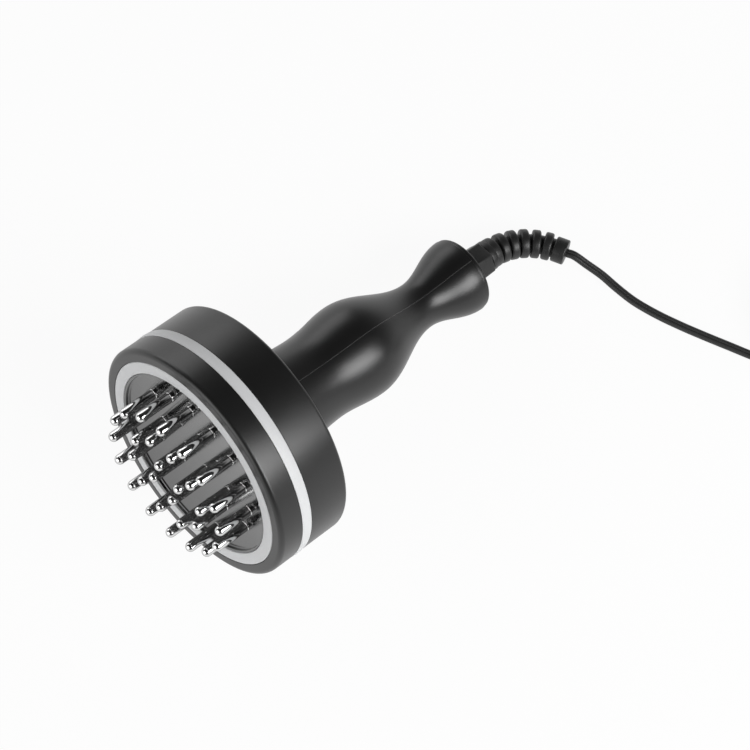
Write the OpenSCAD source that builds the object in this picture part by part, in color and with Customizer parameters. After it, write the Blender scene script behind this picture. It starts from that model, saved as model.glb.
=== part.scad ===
// Body slimming massager: a round heated head with thirty steel massage pins, two light rings,
// a waisted two-shell handle with two push buttons, a vibration motor and a low-voltage lead.
// It lies on its side as it does on a table: the head's back edge and the handle's end rim touch z = 0.
// Stations named *_t run along the device's own axis, from the face plane (0) to the handle's end.

/* [Head] */
// Outer radius of the head
head_r = 47.5; // [46:0.5:52]
// Depth of the head from the face to the back
head_depth = 31.6; // [30.5:0.1:34]
// Radius of the rounded edge round the face
face_edge_r = 2.5; // [1:0.1:3]
// Radius of the rounded edge round the back
back_edge_r = 1.5; // [0.6:0.1:2.2]
// Wall thickness of the head's shells
head_wall = 2.4; // [1.8:0.1:3]
// Distance from the face to the front of the side light band
band_t = 10.1; // [9.6:0.1:11.5]
// Visible width of the side light band
band_w = 4.2; // [3.4:0.1:5]
// How far the middle of the light band stands proud of the head
band_proud = 0.25; // [0.05:0.05:0.5]

/* [Face] */
// Distance from the side of the head to the white ring on the face
ring_inset = 4.9; // [4.3:0.1:5.5]
// Width of the white ring on the face
ring_width = 4.7; // [4.2:0.1:5.2]
// Thickness of the white ring's flange
ring_flange = 2.5; // [2:0.1:3]
// Depth of the pin plate below the face
plate_recess = 1.7; // [1.2:0.1:2.2]
// Thickness of the pin plate
plate_thick = 1.5; // [1:0.1:2]
// Thickness of the heating pad behind the plate
pad_thick = 0.6; // [0.4:0.1:1]

/* [Pins] */
// Radius of a massage pin
pin_r = 1.95; // [1.6:0.05:2.1]
// Height of a pin's ball centre in front of the face
pin_reach = 12; // [8:0.5:16]
// Distance from the white ring to the circle of the outer pins
pin_margin = 8.9; // [8.4:0.1:9.4]
// Radius of the middle circle of pins as a share of the outer one
middle_pin_share = 0.638; // [0.6:0.005:0.68]
// Radius of the inner circle of pins as a share of the outer one
inner_pin_share = 0.262; // [0.255:0.005:0.3]

/* [Handle] */
// Distance from the face to the end of the handle
handle_end_t = 135; // [132:0.5:142]
// Radius of the handle where it meets the head
foot_r = 19.4; // [18.5:0.1:20.5]
// Radius of the first waist behind the head
waist_r = 17.2; // [16.6:0.1:18]
// Radius of the bulb that fills the palm
bulb_r = 19.1; // [18.6:0.1:20]
// Radius of the thin waist near the cord
neck_r = 9.45; // [9:0.05:10.5]
// Radius of the flared end
flare_r = 15.2; // [14.8:0.1:16]
// Distance from the face to the first waist
waist_t = 59; // [56:0.5:60]
// Distance from the face to the middle of the bulb
bulb_t = 78.5; // [77:0.5:80]
// Distance from the thin waist to the end of the handle
neck_from_end = 24; // [23:0.5:26]
// Wall thickness of the handle shells
shell_wall = 2.2; // [1.8:0.1:2.6]
// Thickness of the end cap's disc
end_cap_thick = 1.8; // [1.2:0.1:2.5]

/* [Buttons] */
// Radius of a push button
button_r = 4.45; // [3.8:0.05:4.8]
// Distance between the middles of the two push buttons
button_spacing = 14; // [12.5:0.5:15]
// How far the pair of buttons lies towards the head from the middle of the bulb
buttons_ahead = 3.5; // [2.5:0.5:4.5]
// Travel of a push button
button_travel = 0.8; // [0.4:0.1:0.8]

/* [Motor] */
// Length of the motor's can
motor_len = 22; // [18:0.5:24]
// How much smaller than the motor the eccentric weight is, in radius
weight_inset = 1.1; // [0.6:0.1:2]
// Length of the eccentric weight
weight_len = 8; // [5:0.5:9]

/* [Cord] */
// Width of the low-voltage lead
cord_d = 3.4; // [3:0.1:3.8]
// Length of the gland block on the end cap
gland_len = 11.5; // [10:0.5:13]
// Radius over the corners of the six-sided gland block
gland_r = 7.5; // [7:0.1:8]
// Radius of the bend of the strain relief
relief_bend_r = 24.5; // [24:0.5:26]
// Radius of the barrel of the plug
barrel_r = 2.75; // [2.5:0.05:2.75]
// Length of the barrel of the plug
barrel_len = 9.5; // [9:0.5:12]

/* [Hidden] */
$fn = 96;

// Clearances: running for what slides, seat for what is pushed together
running = 0.05;
seat = 0.05;
screw_play = 0.1;
thread_play = 0.02;
over = 1;

// Face ring, and the circles of pins inside it: count, radius and first angle of each
ring_out_r = head_r - ring_inset;
ring_in_r = ring_out_r - ring_width;
outer_pin_r = ring_in_r - pin_margin;
middle_pin_r = outer_pin_r * middle_pin_share;
inner_pin_r = outer_pin_r * inner_pin_share;
pin_rings = [[16, outer_pin_r, -3], [10, middle_pin_r, 24.5], [4, inner_pin_r, 41]];
stud_r = 1.25;
nut_af = 5;
nut_thick = 2;
pin_spots = [for (g = pin_rings) for (i = [0:g[0] - 1]) [g[1], g[2] + i * 360 / g[0]]];
plate_back_t = plate_recess + plate_thick;
pad_back_t = plate_back_t + pad_thick;
nut_back_t = pad_back_t + nut_thick;
stud_end_t = nut_back_t + 0.4;
plate_r = ring_in_r - 0.1;
thermostat_r = inner_pin_r - nut_af / 2 / cos(30) - 0.8;

// Head stack
band_end_t = band_t + band_w;
spigot_len = 3;
spigot_r = head_r - head_wall - 0.5;
spigot_wall = 1.6;
bezel_bore_r = ring_out_r - 1.6;
skirt_in_r = ring_in_r + 1.1;
skirt_end_t = band_t + 0.6;
emitter_thick = 1;
emitter_count = 24;
board_t = skirt_end_t + 0.2 + emitter_thick;
light_board_thick = 1.6;
boss_circle_r = spigot_r - 13.1;
light_board_in_r = boss_circle_r - 4.5;
boss_r = 3.4;
carrier_in_r = ring_in_r - 2.9;
carrier_flange = 1.6;
carrier_flange_r = boss_circle_r - 3.5;
screw_r = 1.25;
screw_head_r = 2.4;
screw_head_h = 1.6;
boss_bore = 10;
post_r = 3.5;
post_bore = 3.2;
root = 0.5;
back_inner_t = head_depth - head_wall;

// Handle
shell_end_t = handle_end_t - end_cap_thick;
neck_t = handle_end_t - neck_from_end;
gland_end_t = handle_end_t + gland_len;
cap_edge_r = 0.8;
cap_r = flare_r - 0.2;
neck_hole_r = 16;
flange_r = 21;
flange_thick = 2.2;
cap_spigot_r = 11.5;
cap_spigot_len = 4;
gland_stub_r = 5;
gland_bore_t = handle_end_t - 0.8;
gland_flange_r = 7;
gland_flange_thick = 1.9;
gland_chamfer = [0.9, 1.6];
gland_turn = 12;
curve_step = 2.5;

// Motor: its axis crosses the head
strap_wall = 1.6;
strap_clear = 1.2;
strap_len = 10;
bracket_thick = 2;
bracket_w = 11;
bracket_screw_x = 26;
shaft_r = 1;
shaft_grip = 14;
shaft_out = 11;
shaft_end_gap = 0.5;
nose_r = 3;
nose_len = 1;
hub_r = 2.4;
motor_front_y = 8;
bracket_back_t = back_inner_t - flange_thick - 0.8;
bracket_base_t = bracket_back_t - bracket_thick;
motor_r = (bracket_base_t - strap_wall - strap_clear - stud_end_t) / 2;
motor_t = bracket_base_t - motor_r;
weight_r = motor_r - weight_inset;

// Controls in the handle: heights are measured from the axis
board_y = 8;
board_thick = 1.6;
board_half_w = 8;
heat_button_t = bulb_t - buttons_ahead - button_spacing / 2;
vibration_button_t = heat_button_t + button_spacing;
board_start_t = heat_button_t - 8;
board_end_t = vibration_button_t + 10;
ledge_stations = [heat_button_t - 4, vibration_button_t];
ledge_size = [8.2, 2, 6];
peg_stations = [48, handle_end_t - 11];
peg_r = 0.8;
peg_len = 1.8;
clamp_mid_t = handle_end_t - 19;
clamp_screw_x = 4.6;
clamp_screw_r = 0.8;
clamp_screw_head_r = 1.3;
clamp_thick = 2.2;
clamp_len = 6;
clamp_post = [2.6, 5.4, 8];
clamp_y = -cord_d / 2;
wire_r = 0.6;
wire_x = 2.5;
wire_sides = 8;
switch_size = 6;
switch_body_h = 1.9;
plunger_r = 1.7;
plunger_h = 0.5;
switch_top_y = board_y + board_thick + switch_body_h + plunger_h;
nub_y = switch_top_y + button_travel + 0.1;
nub_h = 0.6;
button_flange_r = button_r + 1.05;
button_flange_h = 1;

// The lie on the table: a line under the head's back edge and the handle's end rim
lie_head = [head_depth - back_edge_r, head_r - back_edge_r];
lie_end = [handle_end_t - cap_edge_r, cap_r - cap_edge_r];
lie = atan2(lie_head[1] - lie_end[1], lie_end[0] - lie_head[0])
    + asin((back_edge_r - cap_edge_r) / norm(lie_head - lie_end));
roll = 6.4;
face_h = lie_head[1] * cos(lie) + lie_head[0] * sin(lie) + back_edge_r;
pin_low_x = min([for (s = pin_spots) -sin(lie) * s[0] * cos(s[1] + roll)]) - cos(lie) * pin_reach - pin_r;
end_high_x = sin(lie) * lie_end[1] + cos(lie) * lie_end[0] + cap_edge_r;
shift_x = -(pin_low_x + end_high_x) / 2;

// Strain relief
relief_collar_len = 2.5;
relief_start_t = gland_end_t + relief_collar_len;
relief_turn = 65;
relief_bank = 12;
relief_core_r = 3.7;
relief_ribs = 6;
rib_first_r = 5.9;
rib_last_r = 5.4;
rib_w = 2.8;
rib_edge = 0.5;
relief_end_r = 4.8;
relief_end_len = 4.7;
bite = 0.3;

// The lead: chosen points where it lies free, then a coil of loops in four layers, then the plug
cord_r = cord_d / 2;
coil_centre = [170, -103];
coil_in_angle = 206.6;
coil_turned = 108.4 + 11 * 360;
coil_layers = 4;
coil_rings_per_loop = 24;
coil_sides = 6;
cord_sides = 8;
loop_pitch = cord_d + 0.5;
coil_out_r = 23.3;
layer_angle = coil_turned / coil_layers;
tail_run = 28;
tail_straight = 3;
plug_r = 5.2;
plug_len = 24;
plug_relief_len = 9;
coil_out_angle = coil_in_angle + coil_turned;
coil_top_z = cord_r + (coil_layers - 1) * loop_pitch;

// Height of the coil's centreline above the floor at an angle along it
function climb(s) = s <= 0 ? 0 : s >= 1 ? 1 : s * s * (3 - 2 * s);
function coil_z(a) = cord_r + loop_pitch * (climb((a - layer_angle + 90) / 180)
    + climb((a - 2 * layer_angle + 90) / 180) + climb((a - 3 * layer_angle + 90) / 180));
// Radius of the coil's centreline: in over one layer and out over the next
function coil_wave(a) = abs(((a / layer_angle) + 1) % 2 - 1);
function coil_rad(a) = coil_out_r - coil_wave(a) * layer_angle / 360 * loop_pitch;
function heading(a) = [-sin(a), cos(a), 0];
function coil_at(a) = let (b = a + coil_in_angle, r = coil_rad(a))
    [coil_centre[0] + r * cos(b), coil_centre[1] + r * sin(b), coil_z(a)];
coil_in = coil_at(0) - cord_d * heading(coil_in_angle);
coil_out = coil_at(coil_turned) + cord_d * heading(coil_out_angle);
coil_steps = round(coil_turned / 360 * coil_rings_per_loop);
coil_path = concat([coil_in], [for (i = [0:coil_steps]) coil_at(coil_turned * i / coil_steps)], [coil_out]);

// Where the strain relief ends, and which way the lead leaves it
function laid(p) =
    [shift_x + p[2] * cos(lie) - p[0] * sin(lie), p[1], face_h - p[2] * sin(lie) - p[0] * cos(lie)];
function laid_way(d) = laid(d) - laid([0, 0, 0]);
relief_side = [-sin(relief_bank), -cos(relief_bank), 0];
relief_way = sin(relief_turn) * relief_side + cos(relief_turn) * [0, 0, 1];
relief_end = [0, 0, relief_start_t] + relief_bend_r * (1 - cos(relief_turn)) * relief_side
    + relief_bend_r * sin(relief_turn) * [0, 0, 1] + relief_end_len * relief_way;
cord_start = laid(relief_end);
cord_way = laid_way(relief_way);
cord_route = [[114.2, -26.4, 4.9], [116.2, -33, 3.2], [117.4, -40, 2], [119, -48.5, 1.7],
    [122.1, -58, 1.7], [126.1, -67.5, 1.7], [130.4, -76.6, 1.7], [134.7, -85.3, 1.7],
    [139, -94, 1.7]];
cord_path = concat([cord_start, cord_start + cord_d * cord_way], cord_route,
    [coil_in - 9 * heading(coil_in_angle), coil_in]);
tail_way = heading(coil_out_angle);
tail_steps = 8;
tail_drop = [for (i = [0:tail_steps]) let (s = i / tail_steps)
    coil_out + (tail_straight + (tail_run - 2 * tail_straight) * s) * tail_way
        - [0, 0, (coil_top_z - plug_r) * climb(s)]];
tail_end = tail_drop[tail_steps] + tail_straight * tail_way;
tail_path = concat([coil_out], tail_drop, [tail_end]);

// Least gap between turns of the coil, measured on its points
far_steps = coil_rings_per_loop / 2;
coil_gap = min([for (i = [0:far_steps / 3:len(coil_path) - 1]) for (j = [i + far_steps:len(coil_path) - 1])
    norm(coil_path[i] - coil_path[j])]) - cord_d;
echo(least_gap_between_turns = coil_gap);

// The handle's outline: radii at the waists and the bulb, joined by cosine curves
stations = [[head_depth, foot_r], [waist_t, waist_r], [bulb_t, bulb_r], [neck_t, neck_r],
    [shell_end_t, flare_r]];
function ease(s) = (1 - cos(180 * s)) / 2;
function outline_r(t, k = 0) = k >= len(stations) - 2 || t <= stations[k + 1][0]
    ? stations[k][1] + (stations[k + 1][1] - stations[k][1])
        * ease((t - stations[k][0]) / (stations[k + 1][0] - stations[k][0]))
    : outline_r(t, k + 1);
function curve(from, to, inset) = let (n = ceil((to - from) / curve_step))
    [for (i = [0:n]) let (t = from + (to - from) * i / n) [outline_r(t) - inset, t]];

// A rounded corner as points: centre, radius, first angle, last angle
function corner(c, r, a, b) =
    [for (i = [0:6]) c + r * [cos(a + (b - a) * i / 6), sin(a + (b - a) * i / 6)]];

// Puts a piece drawn on the device's own axis in its place on the table
module lay() {
    translate([shift_x, 0, face_h]) rotate([0, 90 + lie, 0]) children();
}

module device() {
    lay() rotate([0, 0, roll]) children();
}

// A ring or disc between two stations of the axis
module hoop(r_out, r_in, from, to) {
    translate([0, 0, from]) difference() {
        cylinder(r = r_out, h = to - from);
        if (r_in > 0) translate([0, 0, -over]) cylinder(r = r_in, h = to - from + 2 * over);
    }
}

// Cutter for a hole right through between two stations
module drill(r, from, to) {
    translate([0, 0, from - over]) cylinder(r = r, h = to - from + 2 * over, $fn = 32);
}

// Cutter for a blind hole of a given depth
module pilot(r, from, depth) {
    translate([0, 0, from - over]) cylinder(r = r, h = depth + over, $fn = 32);
}

// A screw with a flat head, its head's seat at the origin
module screw(r, grip, top_r, top_h) {
    translate([0, 0, -top_h]) cylinder(r = top_r, h = top_h, $fn = 32);
    cylinder(r = r, h = grip, $fn = 32);
}

module at_pins() {
    for (s = pin_spots) rotate([0, 0, s[1]]) translate([s[0], 0, 0]) children();
}

module at_bosses() {
    for (a = [45:90:315]) rotate([0, 0, a]) translate([boss_circle_r, 0, 0]) children();
}

// The two posts that the motor's bracket is screwed to
module at_posts() {
    for (x = [-bracket_screw_x, bracket_screw_x]) translate([x, 0, 0]) children();
}

// A closed tube swept along points, its rings square to the path
module swept(path, r, sides) {
    n = len(path);
    way = [for (i = [0:n - 1]) path[min(i + 1, n - 1)] - path[max(i - 1, 0)]];
    points = [for (i = [0:n - 1]) let (t = way[i] / norm(way[i]), s = cross(t, [0, 0, 1]),
        side = s / norm(s), top = cross(side, t)) for (k = [0:sides - 1])
        path[i] + r * (cos(360 * k / sides) * side + sin(360 * k / sides) * top)];
    walls = [for (i = [0:n - 2]) for (k = [0:sides - 1]) for (h = [0, 1])
        let (a = i * sides + k, b = i * sides + (k + 1) % sides)
        h == 0 ? [a, b, b + sides] : [a, b + sides, a + sides]];
    first_end = [for (k = [1:sides - 2]) [0, k + 1, k]];
    last_end = [for (k = [1:sides - 2]) [(n - 1) * sides, (n - 1) * sides + k, (n - 1) * sides + k + 1]];
    polyhedron(points, concat(walls, first_end, last_end));
}

// One massage pin: a polished shaft with a ball end, a foot collar and a threaded stud behind the plate
module massage_pins() {
    color([0.78, 0.79, 0.8]) device() at_pins() {
        rotate_extrude() polygon(concat([[0, -pin_reach - pin_r]],
            [for (a = [-75:15:0]) [pin_r * cos(a), -pin_reach + pin_r * sin(a)]],
            [[pin_r, plate_recess - 1.3], [pin_r + 0.3, plate_recess - 0.9], [pin_r + 0.3, plate_recess],
            [stud_r, plate_recess], [stud_r, stud_end_t], [0, stud_end_t]]));
    }
}

// Polished dish that the pins stand on, with an upturned rim
module pin_plate() {
    color([0.6, 0.61, 0.62]) device() difference() {
        union() {
            hoop(plate_r, 0, plate_recess, plate_back_t);
            hoop(plate_r, plate_r - 0.9, 0.3, plate_recess + 0.5);
        }
        at_pins() drill(stud_r + seat, plate_recess, plate_back_t);
    }
}

// Six-sided nuts that pull the pins on to the plate
module pin_nuts() {
    color([0.7, 0.7, 0.66]) device() at_pins() translate([0, 0, pad_back_t]) difference() {
        cylinder(r = nut_af / 2 / cos(30), h = nut_thick, $fn = 6);
        drill(stud_r + seat, 0, nut_thick);
    }
}

// Thin heating film clamped between the plate and the nuts
module heating_pad() {
    color([0.75, 0.45, 0.15]) device() difference() {
        hoop(carrier_in_r - 1, 0, plate_back_t, pad_back_t);
        at_pins() drill(stud_r + screw_play, plate_back_t, pad_back_t);
    }
}

// Cut-out that keeps the plate from overheating, stuck to the middle of the pad
module thermostat() {
    color([0.85, 0.85, 0.8]) device() translate([0, 0, pad_back_t]) {
        cylinder(r = thermostat_r, h = 1.8);
        translate([0, 0, 1.8]) cylinder(r = thermostat_r - 0.8, h = 1);
    }
}

// Frame that holds the plate and the heating pad, screwed through the light board
module plate_carrier() {
    color([0.15, 0.15, 0.16]) device() difference() {
        union() {
            hoop(skirt_in_r - 0.1, carrier_in_r, plate_back_t, board_t);
            hoop(carrier_in_r + 0.5, carrier_flange_r, board_t - carrier_flange, board_t);
        }
        at_bosses() drill(screw_r + screw_play, board_t - carrier_flange, board_t);
    }
}

// Screws from the carrier into the housing's bosses
module carrier_screws() {
    color([0.7, 0.7, 0.7]) device() at_bosses() translate([0, 0, board_t - carrier_flange])
        screw(screw_r, boss_bore, screw_head_r, screw_head_h);
}

// White ring on the face, with a skirt that takes the light from the board behind it
module face_light_ring() {
    color([0.82, 0.83, 0.84]) device() {
        hoop(ring_out_r, ring_in_r, 0, ring_flange);
        hoop(bezel_bore_r - seat, skirt_in_r, ring_flange, skirt_end_t);
    }
}

// Front rim of the head, round the white ring
module front_bezel() {
    color([0.13, 0.13, 0.14]) device() rotate_extrude($fn = 180) polygon(concat(
        corner([head_r - face_edge_r, face_edge_r], face_edge_r, 0, -90),
        [[ring_out_r + seat, 0], [ring_out_r + seat, ring_flange], [bezel_bore_r, ring_flange],
        [bezel_bore_r, band_t - spigot_len - 0.1], [spigot_r + seat, band_t - spigot_len - 0.1],
        [spigot_r + seat, band_t], [head_r, band_t]]));
}

// White band round the side: a light guide with a spigot into each neighbour
module side_light_band() {
    crown_r = (band_w * band_w / 4 + band_proud * band_proud) / (2 * band_proud);
    crown = [for (i = [0:6]) let (z = band_w * (i / 6 - 0.5))
        [head_r + band_proud - crown_r + sqrt(crown_r * crown_r - z * z), band_t + band_w / 2 + z]];
    color([0.82, 0.83, 0.84]) device() rotate_extrude($fn = 180) polygon(concat(
        [[spigot_r - spigot_wall, band_t - spigot_len], [spigot_r, band_t - spigot_len],
        [spigot_r, band_t]],
        crown,
        [[spigot_r, band_end_t], [spigot_r, band_end_t + spigot_len],
        [spigot_r - spigot_wall, band_end_t + spigot_len]]));
}

// Ring-shaped circuit board that lights both white rings
module light_board() {
    color([0.1, 0.35, 0.2]) device() difference() {
        hoop(spigot_r - spigot_wall - 0.1, light_board_in_r, board_t, board_t + light_board_thick);
        at_bosses() drill(screw_r + screw_play, board_t, board_t + light_board_thick);
    }
}

// Light emitters on the board, under the skirt of the face ring
module light_emitters() {
    skirt_mid_r = (skirt_in_r + bezel_bore_r) / 2;
    size = [1.8, 2.8, emitter_thick];
    color([0.95, 0.95, 0.8]) device() for (i = [0:emitter_count - 1])
        rotate([0, 0, i * 360 / emitter_count])
            translate([skirt_mid_r - size[0] / 2, -size[1] / 2, board_t - size[2]]) cube(size);
}

// Cup-shaped back shell of the head: wall, back with a round neck hole, screw bosses and stiffening webs
module head_housing() {
    front_t = band_end_t;
    boss_t = board_t + light_board_thick;
    web_t = front_t + 7;
    web_thick = 1.6;
    web_len = spigot_r - spigot_wall - boss_circle_r - boss_r + 1.5;
    color([0.13, 0.13, 0.14]) device() difference() {
        union() {
            rotate_extrude($fn = 180) polygon(concat(
                [[spigot_r + seat, front_t], [head_r, front_t]],
                corner([head_r - back_edge_r, head_depth - back_edge_r], back_edge_r, 0, 90),
                [[neck_hole_r, head_depth], [neck_hole_r, back_inner_t],
                [head_r - head_wall - 1.5, back_inner_t],
                [spigot_r - spigot_wall, back_inner_t - 1.5],
                [spigot_r - spigot_wall, front_t + spigot_len + 0.1],
                [spigot_r + seat, front_t + spigot_len + 0.1]]));
            at_bosses() translate([0, 0, boss_t]) cylinder(r = boss_r, h = back_inner_t - boss_t + root);
            for (a = [45:90:315]) rotate([0, 0, a])
                translate([boss_circle_r + boss_r - 1, -web_thick / 2, web_t])
                    cube([web_len, web_thick, back_inner_t - web_t + root]);
            at_posts() translate([0, 0, bracket_back_t])
                cylinder(r = post_r, h = back_inner_t - bracket_back_t + root);
        }
        at_bosses() pilot(screw_r + thread_play, boss_t, boss_bore);
        at_posts() pilot(screw_r + thread_play, bracket_back_t, post_bore);
    }
}

// Strap and foot that hold the motor across the head
module motor_bracket() {
    color([0.6, 0.6, 0.62]) device() difference() {
        union() {
            translate([-bracket_screw_x - 4, -bracket_w / 2, bracket_base_t])
                cube([2 * bracket_screw_x + 8, bracket_w, bracket_thick]);
            translate([0, strap_len / 2, motor_t]) rotate([90, 0, 0])
                cylinder(r = motor_r + strap_wall, h = strap_len);
        }
        translate([0, strap_len / 2 + over, motor_t]) rotate([90, 0, 0])
            cylinder(r = motor_r + seat, h = strap_len + 2 * over);
        at_posts() drill(screw_r + screw_play, bracket_base_t, bracket_back_t);
    }
}

module bracket_screws() {
    color([0.7, 0.7, 0.7]) device() at_posts() translate([0, 0, bracket_base_t])
        screw(screw_r, bracket_thick + post_bore - 0.4, screw_head_r, screw_head_h);
}

// Puts a child at the front of the motor, its z axis back along the motor
module at_motor() {
    translate([0, motor_front_y, motor_t]) rotate([90, 0, 0]) children();
}

// Small motor with a bearing nose, bored for its shaft
module motor_can() {
    color([0.75, 0.75, 0.77]) device() at_motor() difference() {
        union() {
            cylinder(r = motor_r, h = motor_len);
            translate([0, 0, -nose_len]) cylinder(r = nose_r, h = nose_len + root);
        }
        pilot(shaft_r + running, -nose_len, nose_len + shaft_grip);
    }
}

module motor_shaft() {
    color([0.8, 0.8, 0.82]) device() at_motor() translate([0, 0, -shaft_out])
        cylinder(r = shaft_r, h = shaft_out + shaft_grip - 0.2, $fn = 48);
}

// Half-round weight that shakes the head as it spins, pressed on to the shaft
module eccentric_weight() {
    color([0.72, 0.6, 0.35]) device() at_motor() translate([0, 0, shaft_end_gap - shaft_out]) difference() {
        union() {
            difference() {
                cylinder(r = weight_r, h = weight_len);
                translate([-weight_r - over, -weight_r - over, -over])
                    cube([2 * (weight_r + over), weight_r + over + shaft_r, weight_len + 2 * over]);
            }
            cylinder(r = hub_r, h = weight_len);
        }
        drill(shaft_r, 0, weight_len);
    }
}

// Profile of one handle shell: flange inside the head, neck in its hole, foot, bulb and flared end
module shell_profile() {
    neck_in_r = neck_hole_r - 0.1 - shell_wall;
    socket_r = cap_spigot_r + seat;
    socket_t = shell_end_t - cap_spigot_len - 0.2;
    inner = curve(head_depth + 4, socket_t - 1, shell_wall);
    polygon(concat(
        [[neck_in_r, back_inner_t - flange_thick], [flange_r, back_inner_t - flange_thick],
        [flange_r, back_inner_t], [neck_hole_r - 0.1, back_inner_t], [neck_hole_r - 0.1, head_depth]],
        curve(head_depth, shell_end_t, 0),
        [[socket_r, shell_end_t], [socket_r, socket_t]],
        [for (i = [len(inner) - 1:-1:0]) inner[i]],
        [[neck_in_r, head_depth]]));
}

module shell_half() {
    rotate_extrude(angle = 180, $fn = 120) shell_profile();
}

// Solid shape of the handle's outside, used to trim the buttons flush
module handle_solid() {
    rotate_extrude($fn = 120) polygon(concat([[0, waist_t]], curve(waist_t, neck_t, 0), [[0, neck_t]]));
}

// Shell with the two button holes and the ledges that carry the control board
module handle_shell_front() {
    color([0.13, 0.13, 0.14]) device() difference() {
        union() {
            shell_half();
            for (x = [0, 1]) mirror([x, 0, 0]) {
                for (t = ledge_stations)
                    translate([board_half_w - 1.2, board_y - ledge_size[1], t]) cube(ledge_size);
                translate([clamp_screw_x - clamp_post[0] / 2, clamp_y, clamp_mid_t - clamp_post[2] / 2])
                    cube([clamp_post[0], clamp_post[1] - clamp_y, clamp_post[2]]);
            }
        }
        for (t = [heat_button_t, vibration_button_t]) translate([0, switch_top_y, t]) rotate([-90, 0, 0])
            cylinder(r = button_r + running, h = bulb_r);
        for (t = peg_stations) for (x = [-1, 1]) peg_spot(x, t) pilot(peg_r + running, 0, peg_len + 0.4);
        at_clamp_screws(clamp_y) pilot(clamp_screw_r + thread_play, 0, 3);
    }
}

// The clamp's two screws: their z axis points across the handle, from a height over the axis
module at_clamp_screws(y) {
    for (x = [-1, 1]) translate([x * clamp_screw_x, y, clamp_mid_t]) rotate([-90, 0, 0]) children();
}

// Places a peg of the joint between the two shells, in the thickness of their walls
module peg_spot(x, t) {
    translate([x * (outline_r(t) - shell_wall / 2), 0, t]) rotate([-90, 0, 0]) children();
}

module handle_shell_back() {
    color([0.13, 0.13, 0.14]) device() {
        rotate([0, 0, 180]) shell_half();
        for (t = peg_stations) for (x = [-1, 1]) peg_spot(x, t)
            translate([0, 0, -over]) cylinder(r = peg_r, h = peg_len + over, $fn = 24);
    }
}

// A push button: cap flush with the bulb, a flange behind the wall and a nub over its switch
module push_button(t) {
    translate([0, 0, t]) rotate([-90, 0, 0]) {
        translate([0, 0, nub_y]) cylinder(r = 1.5, h = nub_h + 0.2, $fn = 32);
        translate([0, 0, nub_y + nub_h]) cylinder(r = button_flange_r, h = button_flange_h, $fn = 64);
    }
    intersection() {
        translate([0, nub_y + nub_h + 0.5, t]) rotate([-90, 0, 0]) cylinder(r = button_r, h = bulb_r);
        handle_solid();
    }
}

module heat_button() {
    color([0.25, 0.25, 0.26]) device() push_button(heat_button_t);
}

module vibration_button() {
    color([0.25, 0.25, 0.26]) device() push_button(vibration_button_t);
}

// Circuit board on the shell's ledges
module control_board() {
    color([0.1, 0.35, 0.2]) device() translate([-board_half_w, board_y, board_start_t])
        cube([2 * board_half_w, board_thick, board_end_t - board_start_t]);
}

// Two low push switches soldered to the board
module board_switches() {
    color([0.2, 0.2, 0.2]) device() for (t = [heat_button_t, vibration_button_t])
        translate([0, board_y + board_thick, t]) {
            translate([-switch_size / 2, 0, -switch_size / 2])
                cube([switch_size, switch_body_h, switch_size]);
            rotate([-90, 0, 0]) cylinder(r = plunger_r, h = switch_body_h + plunger_h, $fn = 32);
        }
}

// Flat cap that closes the flared end and holds the gland
module handle_end_cap() {
    color([0.13, 0.13, 0.14]) device() rotate_extrude($fn = 120) polygon(concat(
        [[gland_stub_r + seat, shell_end_t - cap_spigot_len], [cap_spigot_r, shell_end_t - cap_spigot_len],
        [cap_spigot_r, shell_end_t], [cap_r, shell_end_t]],
        corner([cap_r - cap_edge_r, handle_end_t - cap_edge_r], cap_edge_r, 0, 90),
        [[gland_stub_r + seat, handle_end_t]]));
}

// Six-sided gland block on the cap, with a stub through it and a flange behind it
module gland_block() {
    flange_t = shell_end_t - cap_spigot_len - 2;
    slope = gland_chamfer[1] / gland_chamfer[0];
    color([0.16, 0.16, 0.17]) device() difference() {
        union() {
            translate([0, 0, flange_t]) cylinder(r = gland_flange_r, h = gland_flange_thick);
            translate([0, 0, flange_t]) cylinder(r = gland_stub_r, h = handle_end_t - flange_t + over);
            translate([0, 0, handle_end_t]) intersection() {
                rotate([0, 0, gland_turn]) cylinder(r = gland_r, h = gland_len, $fn = 6);
                translate([0, 0, -over]) rotate_extrude() polygon([[0, 0], [gland_r + over, 0],
                    [gland_r + over, over + gland_len - gland_chamfer[1] - over * slope],
                    [gland_r - gland_chamfer[0] - over / slope, 2 * over + gland_len],
                    [0, 2 * over + gland_len]]);
            }
        }
        pilot(cord_r + screw_play, flange_t, gland_bore_t - flange_t);
    }
}

// Bar that grips the lead inside the handle, screwed to the shell's two posts
module cord_clamp() {
    color([0.2, 0.2, 0.22]) device() difference() {
        translate([-clamp_screw_x - 1.1, clamp_y - clamp_thick, clamp_mid_t - clamp_len / 2])
            cube([2 * clamp_screw_x + 2.2, clamp_thick, clamp_len]);
        at_clamp_screws(clamp_y - clamp_thick) drill(clamp_screw_r + screw_play, 0, clamp_thick);
    }
}

module clamp_screws() {
    color([0.7, 0.7, 0.7]) device() at_clamp_screws(clamp_y - clamp_thick)
        screw(clamp_screw_r, clamp_thick + 2.6, clamp_screw_head_r, 0.8);
}

// End of the lead inside the handle, and its two wires up to the board
module lead_wires() {
    lead_end_t = board_end_t + 8;
    color([0.1, 0.1, 0.1]) device() {
        translate([0, 0, lead_end_t]) cylinder(r = cord_r, h = gland_bore_t - 0.2 - lead_end_t, $fn = 48);
        for (x = [-1, 1]) swept([[x * 0.9, 0, lead_end_t + 1], [x * 1.2, 1.6, lead_end_t - 2],
            [x * wire_x, board_y - 1.2, board_end_t - 1],
            [x * wire_x, board_y - wire_r - 0.15, board_end_t - 4]], wire_r, wire_sides);
    }
}

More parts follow.
